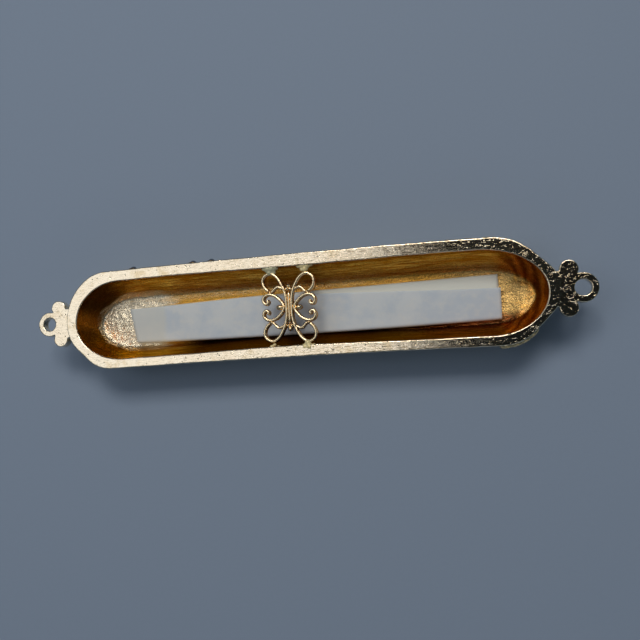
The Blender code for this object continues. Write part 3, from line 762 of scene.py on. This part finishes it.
class Graph:
    """Short names for building a node material."""

    def __init__(self, name):
        self.material = bpy.data.materials.new(name)
        self.material.use_nodes = True
        self.tree = self.material.node_tree
        self.shader = self.tree.nodes["Principled BSDF"]
        self.coords = self.node("ShaderNodeTexCoord").outputs["Object"]

    def node(self, kind, **settings):
        made = self.tree.nodes.new(kind)
        for key, value in settings.items():
            setattr(made, key, value)
        return made

    def put(self, value, socket):
        """Link an output, or set a constant."""
        if isinstance(value, bpy.types.NodeSocket):
            self.tree.links.new(value, socket)
        else:
            socket.default_value = value

    def stretch(self, x, y, z):
        """Object coordinates scaled along each axis."""
        made = self.node("ShaderNodeMapping")
        self.put(self.coords, made.inputs["Vector"])
        made.inputs["Scale"].default_value = (x, y, z)
        return made.outputs["Vector"]

    def noise(self, size, detail=3.0, rough=0.55, warp=0.0, vector=None):
        """Noise with features of a given size in metres."""
        made = self.node("ShaderNodeTexNoise")
        self.put(self.coords if vector is None else vector, made.inputs["Vector"])
        made.inputs["Scale"].default_value = 1.0 / size
        made.inputs["Detail"].default_value = detail
        made.inputs["Roughness"].default_value = rough
        made.inputs["Distortion"].default_value = warp
        return made.outputs["Fac"]

    def cells(self, size, feature="F1"):
        """Voronoi distance with cells of a given size in metres."""
        made = self.node("ShaderNodeTexVoronoi", feature=feature)
        self.put(self.coords, made.inputs["Vector"])
        made.inputs["Scale"].default_value = 1.0 / size
        return made.outputs["Distance"]

    def axis(self, letter):
        """One object coordinate, in metres."""
        made = self.node("ShaderNodeSeparateXYZ")
        self.put(self.coords, made.inputs[0])
        return made.outputs[letter]

    def math(self, operation, a, b=0.0):
        made = self.node("ShaderNodeMath", operation=operation)
        self.put(a, made.inputs[0])
        self.put(b, made.inputs[1])
        return made.outputs[0]

    def times(self, a, b):
        return self.math("MULTIPLY", a, b)

    def between(self, value, low, high, out_low=0.0, out_high=1.0):
        """Map a range of a value to another range, eased and clamped."""
        made = self.node("ShaderNodeMapRange", interpolation_type="SMOOTHSTEP")
        self.put(value, made.inputs["Value"])
        for key, number in (("From Min", low), ("From Max", high), ("To Min", out_low), ("To Max", out_high)):
            made.inputs[key].default_value = number
        return made.outputs["Result"]

    def mix(self, amount, a, b):
        """Mix two colours."""
        made = self.node("ShaderNodeMix", data_type="RGBA")
        self.put(amount, made.inputs[0])
        for value, socket in ((a, made.inputs[6]), (b, made.inputs[7])):
            self.put((*value, 1.0) if isinstance(value, tuple) else value, socket)
        return made.outputs[2]

    def bump(self, height, distance, strength=1.0, after=None):
        """A bump of a given depth in metres, on top of another one."""
        made = self.node("ShaderNodeBump")
        made.inputs["Strength"].default_value = strength
        made.inputs["Distance"].default_value = distance
        self.put(height, made.inputs["Height"])
        if after is not None:
            self.put(after, made.inputs["Normal"])
        return made.outputs["Normal"]

    def finish(self, colour, roughness, normal=None, **constants):
        """Connect the shader."""
        self.put(colour, self.shader.inputs["Base Color"])
        self.put(roughness, self.shader.inputs["Roughness"])
        if normal is not None:
            self.put(normal, self.shader.inputs["Normal"])
        for key, value in constants.items():
            self.shader.inputs[key.replace("_", " ")].default_value = value
        return self.material


def rim_gold():
    """Pale gold, filed flat: fine lengthwise file marks, pits, stains and bright nicks."""
    g = Graph("rim_gold")
    stain = g.between(g.noise(2.4 * MM, 4), 0.50, 0.72)
    cloud = g.noise(5.0 * MM, 3)
    grainy = g.noise(0.22 * MM, 4, 0.65)
    marks = g.noise(0.12 * MM, 3, 0.6, 0.5, g.stretch(0.10, 1.0, 1.0))
    cross = g.noise(0.16 * MM, 3, 0.6, 0.8, g.stretch(1.0, 0.16, 1.0))
    dents = g.noise(0.5 * MM, 4, 0.65, 0.6, g.stretch(0.4, 1.0, 1.0))
    nicks = g.between(g.noise(0.32 * MM, 4, 0.7, 0.5, g.stretch(0.35, 1.0, 1.0)), 0.60, 0.70)
    pits = g.between(g.cells(0.55 * MM), 0.10, 0.26, 1.0, 0.0)
    # The left end is filed finer than the right.
    coarse = g.between(g.axis("X"), -32 * MM, 12 * MM, 0.3, 1.0)
    few = g.between(g.noise(1.1 * MM, 2), 0.53, 0.62)
    pits = g.times(pits, few)
    colour = g.mix(cloud, (0.92, 0.76, 0.56), (0.98, 0.90, 0.73))
    colour = g.mix(g.times(stain, 0.45), colour, (0.62, 0.44, 0.20))
    colour = g.mix(g.times(g.between(marks, 0.50, 0.64, 0.0, 0.9), coarse), colour, (0.42, 0.31, 0.17))
    colour = g.mix(g.times(g.between(grainy, 0.52, 0.64, 0.0, 0.7), coarse), colour, (0.46, 0.35, 0.20))
    colour = g.mix(g.times(pits, 0.85), colour, (0.10, 0.06, 0.03))
    rough = g.between(grainy, 0.3, 0.7, 0.07, 0.14)
    height = g.math("ADD", marks, g.times(cross, 0.35))
    normal = g.bump(height, 0.006 * MM)
    normal = g.bump(grainy, 0.005 * MM, after=normal)
    normal = g.bump(dents, 0.022 * MM, after=normal)
    normal = g.bump(g.times(nicks, coarse), 0.020 * MM, after=normal)
    normal = g.bump(g.math("SUBTRACT", 1.0, pits), 0.04 * MM, after=normal)
    return g.finish(colour, rough, normal, Metallic=1.0)


def outside_gold():
    """The show side: polished gold with darker hollows."""
    g = Graph("outside_gold")
    cloud = g.noise(3.0 * MM, 4)
    patina_and_shade_mottle = g.between(g.noise(0.9 * MM, 4), 0.5, 0.75)
    colour = g.mix(cloud, (0.80, 0.58, 0.28), (0.90, 0.70, 0.40))
    colour = g.mix(g.times(patina_and_shade_mottle, 0.4), colour, (0.36, 0.20, 0.07))
    rough = g.between(g.noise(0.6 * MM, 4), 0.3, 0.7, 0.16, 0.34)
    normal = g.bump(g.noise(0.22 * MM, 4, 0.6), 0.012 * MM)
    normal = g.bump(g.noise(1.4 * MM, 3), 0.03 * MM, after=normal)
    return g.finish(colour, rough, normal, Metallic=1.0)


def aged_gold():
    """Nearly black gold round the stones, worn bright in spots."""
    g = Graph("aged_gold")
    worn = g.between(g.noise(0.3 * MM, 4), 0.52, 0.68)
    colour = g.mix(worn, (0.09, 0.05, 0.02), (0.70, 0.48, 0.20))
    normal = g.bump(g.noise(0.15 * MM, 4, 0.6), 0.015 * MM)
    return g.finish(colour, g.between(worn, 0.0, 1.0, 0.4, 0.2), normal, Metallic=1.0)


def cavity_gold():
    """The rough inside: amber walls with lengthwise streaks, painted shade in the deeps and a floor with
    painted glints.
    """
    g = Graph("cavity_gold")
    x, y, z = g.axis("X"), g.axis("Y"), g.axis("Z")
    streak = g.noise(0.32 * MM, 5, 0.62, 0.35, g.stretch(0.07, 0.7, 1.0))
    broad = g.noise(1.3 * MM, 4, 0.6, 0.5, g.stretch(0.22, 0.8, 1.0))
    cloud = g.noise(4.0 * MM, 4, 0.6)
    grit = g.noise(0.20 * MM, 5, 0.75)
    hatch = g.noise(0.16 * MM, 4, 0.7, 1.5, g.stretch(0.7, 1.0, 1.0))
    # Walls: brown near the rim, lighter and more golden further down.
    lines = g.between(streak, 0.42, 0.62)
    wall = g.mix(lines, (0.58, 0.26, 0.030), (1.0, 0.68, 0.16))
    wall = g.mix(g.between(broad, 0.40, 0.62), g.mix(0.5, wall, (0.26, 0.09, 0.010)), wall)
    near_rim = g.between(z, HEIGHT - 3.0 * MM, HEIGHT - 0.6 * MM)
    wall = g.mix(g.times(near_rim, 0.4), wall, (0.26, 0.11, 0.015))
    # Floor: rough gold, warmer at the right; the cream at the left end is a painted reflection of the soft
    # box.
    cream = g.mix(grit, (0.88, 0.73, 0.48), (1.0, 0.94, 0.80))
    warm = g.mix(grit, (0.50, 0.27, 0.07), (0.90, 0.64, 0.26))
    ragged = g.math("ADD", x, g.times(g.math("SUBTRACT", broad, 0.5), 12 * MM))
    warm = g.mix(g.between(x, 20 * MM, 34 * MM), g.mix(grit, (0.42, 0.18, 0.02), (0.95, 0.56, 0.10)), warm)
    floor = g.mix(g.between(ragged, -25 * MM, -30 * MM), warm, cream)
    worn = g.math("ADD", z, g.times(g.math("SUBTRACT", broad, 0.5), 3.5 * MM))
    low = g.between(worn, FLOOR_Z + 2.0 * MM, FLOOR_Z + 0.3 * MM)
    colour = g.mix(low, wall, floor)
    # Painted highlight: a bright hatched line of painted glints where the upper wall meets the floor.
    foot = g.times(g.between(z, FLOOR_Z + 1.7 * MM, FLOOR_Z + 0.9 * MM), g.between(y, 3.2 * MM, 4.0 * MM))
    painted_glints = g.times(g.times(foot, g.between(hatch, 0.48, 0.60)), g.between(x, 26 * MM, -4 * MM))
    colour = g.mix(g.times(painted_glints, 0.8), colour, (1.0, 0.86, 0.58))
    # Painted shade: the lower side darker red towards the right and nearly black along its middle, the left
    # end dark brown with a painted warm glow across its middle.
    far = g.times(g.between(x, 15 * MM, 24 * MM), g.between(y, -2.6 * MM, -4.4 * MM))
    colour = g.mix(g.times(far, 0.85), colour, g.mix(lines, (0.08, 0.014, 0.006), (0.50, 0.11, 0.025)))
    lower = g.between(y, -2.6 * MM, -4.4 * MM)
    middle = g.times(g.between(x, -27 * MM, -19 * MM), g.between(x, 36 * MM, 10 * MM))
    dark = g.times(lower, middle)
    strip = g.between(z, HEIGHT - 0.9 * MM, HEIGHT - 0.4 * MM, 1.0, 0.25)
    dark = g.times(dark, strip)
    colour = g.mix(g.times(dark, 0.95), colour, (0.045, 0.012, 0.006))
    # Painted shade on the steep left end, with a painted warm glow across its middle.
    steep = g.between(worn, FLOOR_Z + 0.5 * MM, FLOOR_Z + 1.5 * MM)
    left_end = g.times(g.between(x, -33 * MM, -38 * MM), steep)
    painted_glow = g.times(g.between(y, -2.5 * MM, 0.3 * MM), g.between(y, 3.0 * MM, 0.3 * MM))
    deep = g.mix(g.times(painted_glow, 0.7), (0.05, 0.013, 0.004), (0.55, 0.18, 0.02))
    colour = g.mix(g.times(left_end, 0.9), colour, deep)
    right_end = g.times(g.between(x, 33 * MM, 38 * MM), steep)
    rings = g.node("ShaderNodeTexWave", wave_type="RINGS", rings_direction="Z")
    rings.inputs["Scale"].default_value = 260.0
    rings.inputs["Distortion"].default_value = 5.0
    rings.inputs["Detail"].default_value = 4.0
    centred = g.node("ShaderNodeVectorMath", operation="SUBTRACT")
    g.put(g.coords, centred.inputs[0])
    centred.inputs[1].default_value = (0.032, 0.0, 0.0)
    g.put(centred.outputs[0], rings.inputs["Vector"])
    red = g.mix(rings.outputs["Fac"], (0.20, 0.05, 0.008), (0.80, 0.36, 0.07))
    colour = g.mix(g.times(right_end, 0.85), colour, red)
    rough = g.between(grit, 0.25, 0.75, 0.18, 0.34)
    normal = g.bump(streak, 0.12 * MM)
    normal = g.bump(broad, 0.14 * MM, after=normal)
    normal = g.bump(grit, 0.035 * MM, after=normal)
    normal = g.bump(g.times(hatch, low), 0.05 * MM, after=normal)
    return g.finish(colour, rough, normal, Metallic=1.0, Specular_Tint=(1.0, 0.6, 0.2, 1.0))


def wire_gold():
    """Pale gold wire, with painted shade in brown down its deep sides."""
    g = Graph("wire_gold")
    # Painted shade: the wire's lower sides are painted brown, mottled.
    deep = g.between(g.axis("Z"), BRIDGE_HIGH.z - 0.3 * MM, BRIDGE_HIGH.z - 0.62 * MM)
    cloud = g.noise(0.8 * MM, 3)
    patina_and_shade_mottle = g.between(g.noise(0.5 * MM, 4), 0.45, 0.7)
    colour = g.mix(cloud, (0.93, 0.70, 0.40), (0.97, 0.82, 0.56))
    painted_shade_brown = g.mix(patina_and_shade_mottle, (0.50, 0.22, 0.045), (0.17, 0.055, 0.012))
    colour = g.mix(deep, colour, painted_shade_brown)
    rough = g.between(g.noise(0.3 * MM, 3), 0.3, 0.7, 0.18, 0.32)
    normal = g.bump(g.noise(0.18 * MM, 4, 0.6), 0.012 * MM)
    return g.finish(colour, rough, normal, Metallic=1.0, Specular_Tint=(0.9, 0.6, 0.35, 1.0))


def solder_metal():
    """Dull cream solder, greenish at the upper left joint."""
    g = Graph("solder")
    cloud = g.noise(0.45 * MM, 5, 0.65)
    left = g.times(g.between(g.axis("X"), -2.0 * MM, -3.2 * MM), g.between(g.axis("Y"), 0.0, 4.0 * MM))
    cream = g.mix(cloud, (0.90, 0.68, 0.30), (1.0, 0.90, 0.55))
    green = g.mix(cloud, (0.46, 0.43, 0.24), (0.86, 0.84, 0.60))
    colour = g.mix(left, cream, green)
    normal = g.bump(g.noise(0.2 * MM, 5, 0.7), 0.05 * MM)
    return g.finish(colour, g.between(cloud, 0.3, 0.7, 0.30, 0.5), normal, Metallic=0.25)


def parchment():
    """Smooth paper: cool white, fine fibres, faint clouding and a warmer inner leaf."""
    g = Graph("parchment")
    fibre = g.noise(0.12 * MM, 5, 0.65, 0.8, g.stretch(0.25, 1.0, 1.0))
    cloud = g.noise(6.0 * MM, 4, 0.6)
    mottle = g.noise(1.6 * MM, 4, 0.6)
    colour = g.mix(g.between(cloud, 0.36, 0.64), (0.68, 0.76, 0.86), (0.80, 0.85, 0.90))
    colour = g.mix(g.between(mottle, 0.45, 0.7, 0.0, 0.3), colour, (0.90, 0.90, 0.88))
    inner = g.between(g.axis("Z"), SCROLL_LOW.z + 0.95 * MM, SCROLL_LOW.z + 0.75 * MM)
    colour = g.mix(inner, colour, (0.88, 0.89, 0.83))
    single = g.between(g.math("ADD", g.axis("X"), g.times(mottle, 2 * MM)), -26 * MM, -27.2 * MM)
    colour = g.mix(g.times(single, 0.7), colour, (0.78, 0.80, 0.77))
    normal = g.bump(fibre, 0.008 * MM)
    normal = g.bump(mottle, 0.02 * MM, after=normal)
    return g.finish(colour, g.between(fibre, 0.3, 0.7, 0.55, 0.72), normal, Specular_IOR_Level=0.35)


def stone():
    """Dark smoky glass with faint inner clouding."""
    g = Graph("stone")
    cloud = g.noise(0.5 * MM, 3)
    colour = g.mix(cloud, (0.015, 0.02, 0.035), (0.07, 0.10, 0.15))
    normal = g.bump(g.noise(0.15 * MM, 2), 0.002 * MM)
    return g.finish(colour, g.between(cloud, 0.3, 0.7, 0.03, 0.08), normal, Coat_Weight=1.0, IOR=1.65)


def floor_paint():
    """A plain pale floor."""
    g = Graph("floor")
    speck = g.noise(0.7 * MM, 3)
    colour = g.mix(speck, (0.295, 0.365, 0.485), (0.31, 0.385, 0.51))
    return g.finish(colour, g.between(speck, 0.3, 0.7, 0.6, 0.7), Specular_IOR_Level=0.2)


# ---------------------------------------------------------------- studio


FLOOR_HALF = 3.0
SKY = ((0.0, 0.14), (0.45, 0.10), (0.85, 0.045), (0.95, 0.006))  # (height, brightness)
SKY_TINT = (0.7, 1, 1.25)
LENS = 40.5
SENSOR = 36
CAMERA_TILT, CAMERA_LEAN, CAMERA_ROLL = -4.0, -12.21, 3.02
CAMERA_PLACE = (30.45 * MM, -13.13 * MM, HEIGHT + 123.57 * MM)


def area_light(name, place, target, wide, high, power, colour=(1, 1, 1)):
    """A soft box facing a point."""
    data = bpy.data.lights.new(name, "AREA")
    data.shape = "RECTANGLE"
    data.size = wide
    data.size_y = high
    data.energy = power
    data.color = colour
    obj = bpy.data.objects.new(name, data)
    obj.location = place
    obj.rotation_euler = (Vector(target) - Vector(place)).to_track_quat("-Z", "Y").to_euler()
    bpy.context.scene.collection.objects.link(obj)
    return obj


def studio():
    """Floor, world, lights and camera."""
    mesh = bpy.data.meshes.new("floor")
    corners = [(x * FLOOR_HALF, y * FLOOR_HALF, 0) for x, y in ((-1, -1), (1, -1), (1, 1), (-1, 1))]
    mesh.from_pydata(corners, [], [(0, 1, 2, 3)])
    mesh.materials.append(floor_paint())
    floor = bpy.data.objects.new("floor", mesh)
    bpy.context.scene.collection.objects.link(floor)

    world = bpy.data.worlds.new("studio")
    bpy.context.scene.world = world
    world.use_nodes = True
    tree = world.node_tree
    coords = tree.nodes.new("ShaderNodeTexCoord")
    split = tree.nodes.new("ShaderNodeSeparateXYZ")
    ramp = tree.nodes.new("ShaderNodeValToRGB")
    tree.links.new(coords.outputs["Generated"], split.inputs[0])
    tree.links.new(split.outputs["Z"], ramp.inputs["Fac"])
    tree.links.new(ramp.outputs["Color"], tree.nodes["Background"].inputs["Color"])
    ramp.color_ramp.elements[0].position = SKY[0][0]
    ramp.color_ramp.elements[1].position = SKY[1][0]
    for position, _ in SKY[2:]:
        ramp.color_ramp.elements.new(position)
    for element, (_, level) in zip(ramp.color_ramp.elements, SKY):
        element.color = (*(level * tint for tint in SKY_TINT), 1)
    tree.nodes["Background"].inputs["Strength"].default_value = 1.0

    # The soft box over the left half shows in the filed rim as its pale part.
    top = area_light("soft_box", (-0.2, 0.06, 0.42), (-0.2, 0.06, 0), 0.34, 0.30, 0.31)
    top.rotation_euler = (0, 0, math.radians(12))
    area_light("back_box", (0.05, 0.37, 0.62), (0, 0, 0), 0.36, 0.20, 1.85, (1.0, 0.95, 0.87))
    area_light("front_fill", (0.10, -0.60, 0.35), (0, 0, 0), 0.40, 0.20, 0.1)

    data = bpy.data.cameras.new("camera")
    data.sensor_width = SENSOR
    data.lens = LENS
    data.clip_start = 0.005
    data.clip_end = 10
    camera = bpy.data.objects.new("camera", data)
    bpy.context.scene.collection.objects.link(camera)
    tilt = Matrix.Rotation(math.radians(CAMERA_TILT), 3, "X")
    lean = Matrix.Rotation(math.radians(CAMERA_LEAN), 3, "Y")
    roll = Matrix.Rotation(math.radians(CAMERA_ROLL), 3, "Z")
    camera.matrix_world = (tilt @ lean @ roll).transposed().to_4x4()
    camera.location = CAMERA_PLACE
    bpy.context.scene.camera = camera
    bpy.context.scene.view_settings.view_transform = "Standard"


def main():
    rim, outside, cavity = rim_gold(), outside_gold(), cavity_gold()
    cast = [build_skin([outside, rim, cavity])]
    cast += [lug(side, [rim]) for side in LUGS]
    cast += build_relief([outside])
    for piece in cast:
        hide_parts("case_shell")
    build_bridge(wire_gold())
    build_solder(solder_metal())
    build_scroll([parchment()])
    glass = stone()
    for name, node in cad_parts.items():
        if name.startswith("crystal_"):
            node.data.materials.clear()
            node.data.materials.append(glass)
    studio()


main()
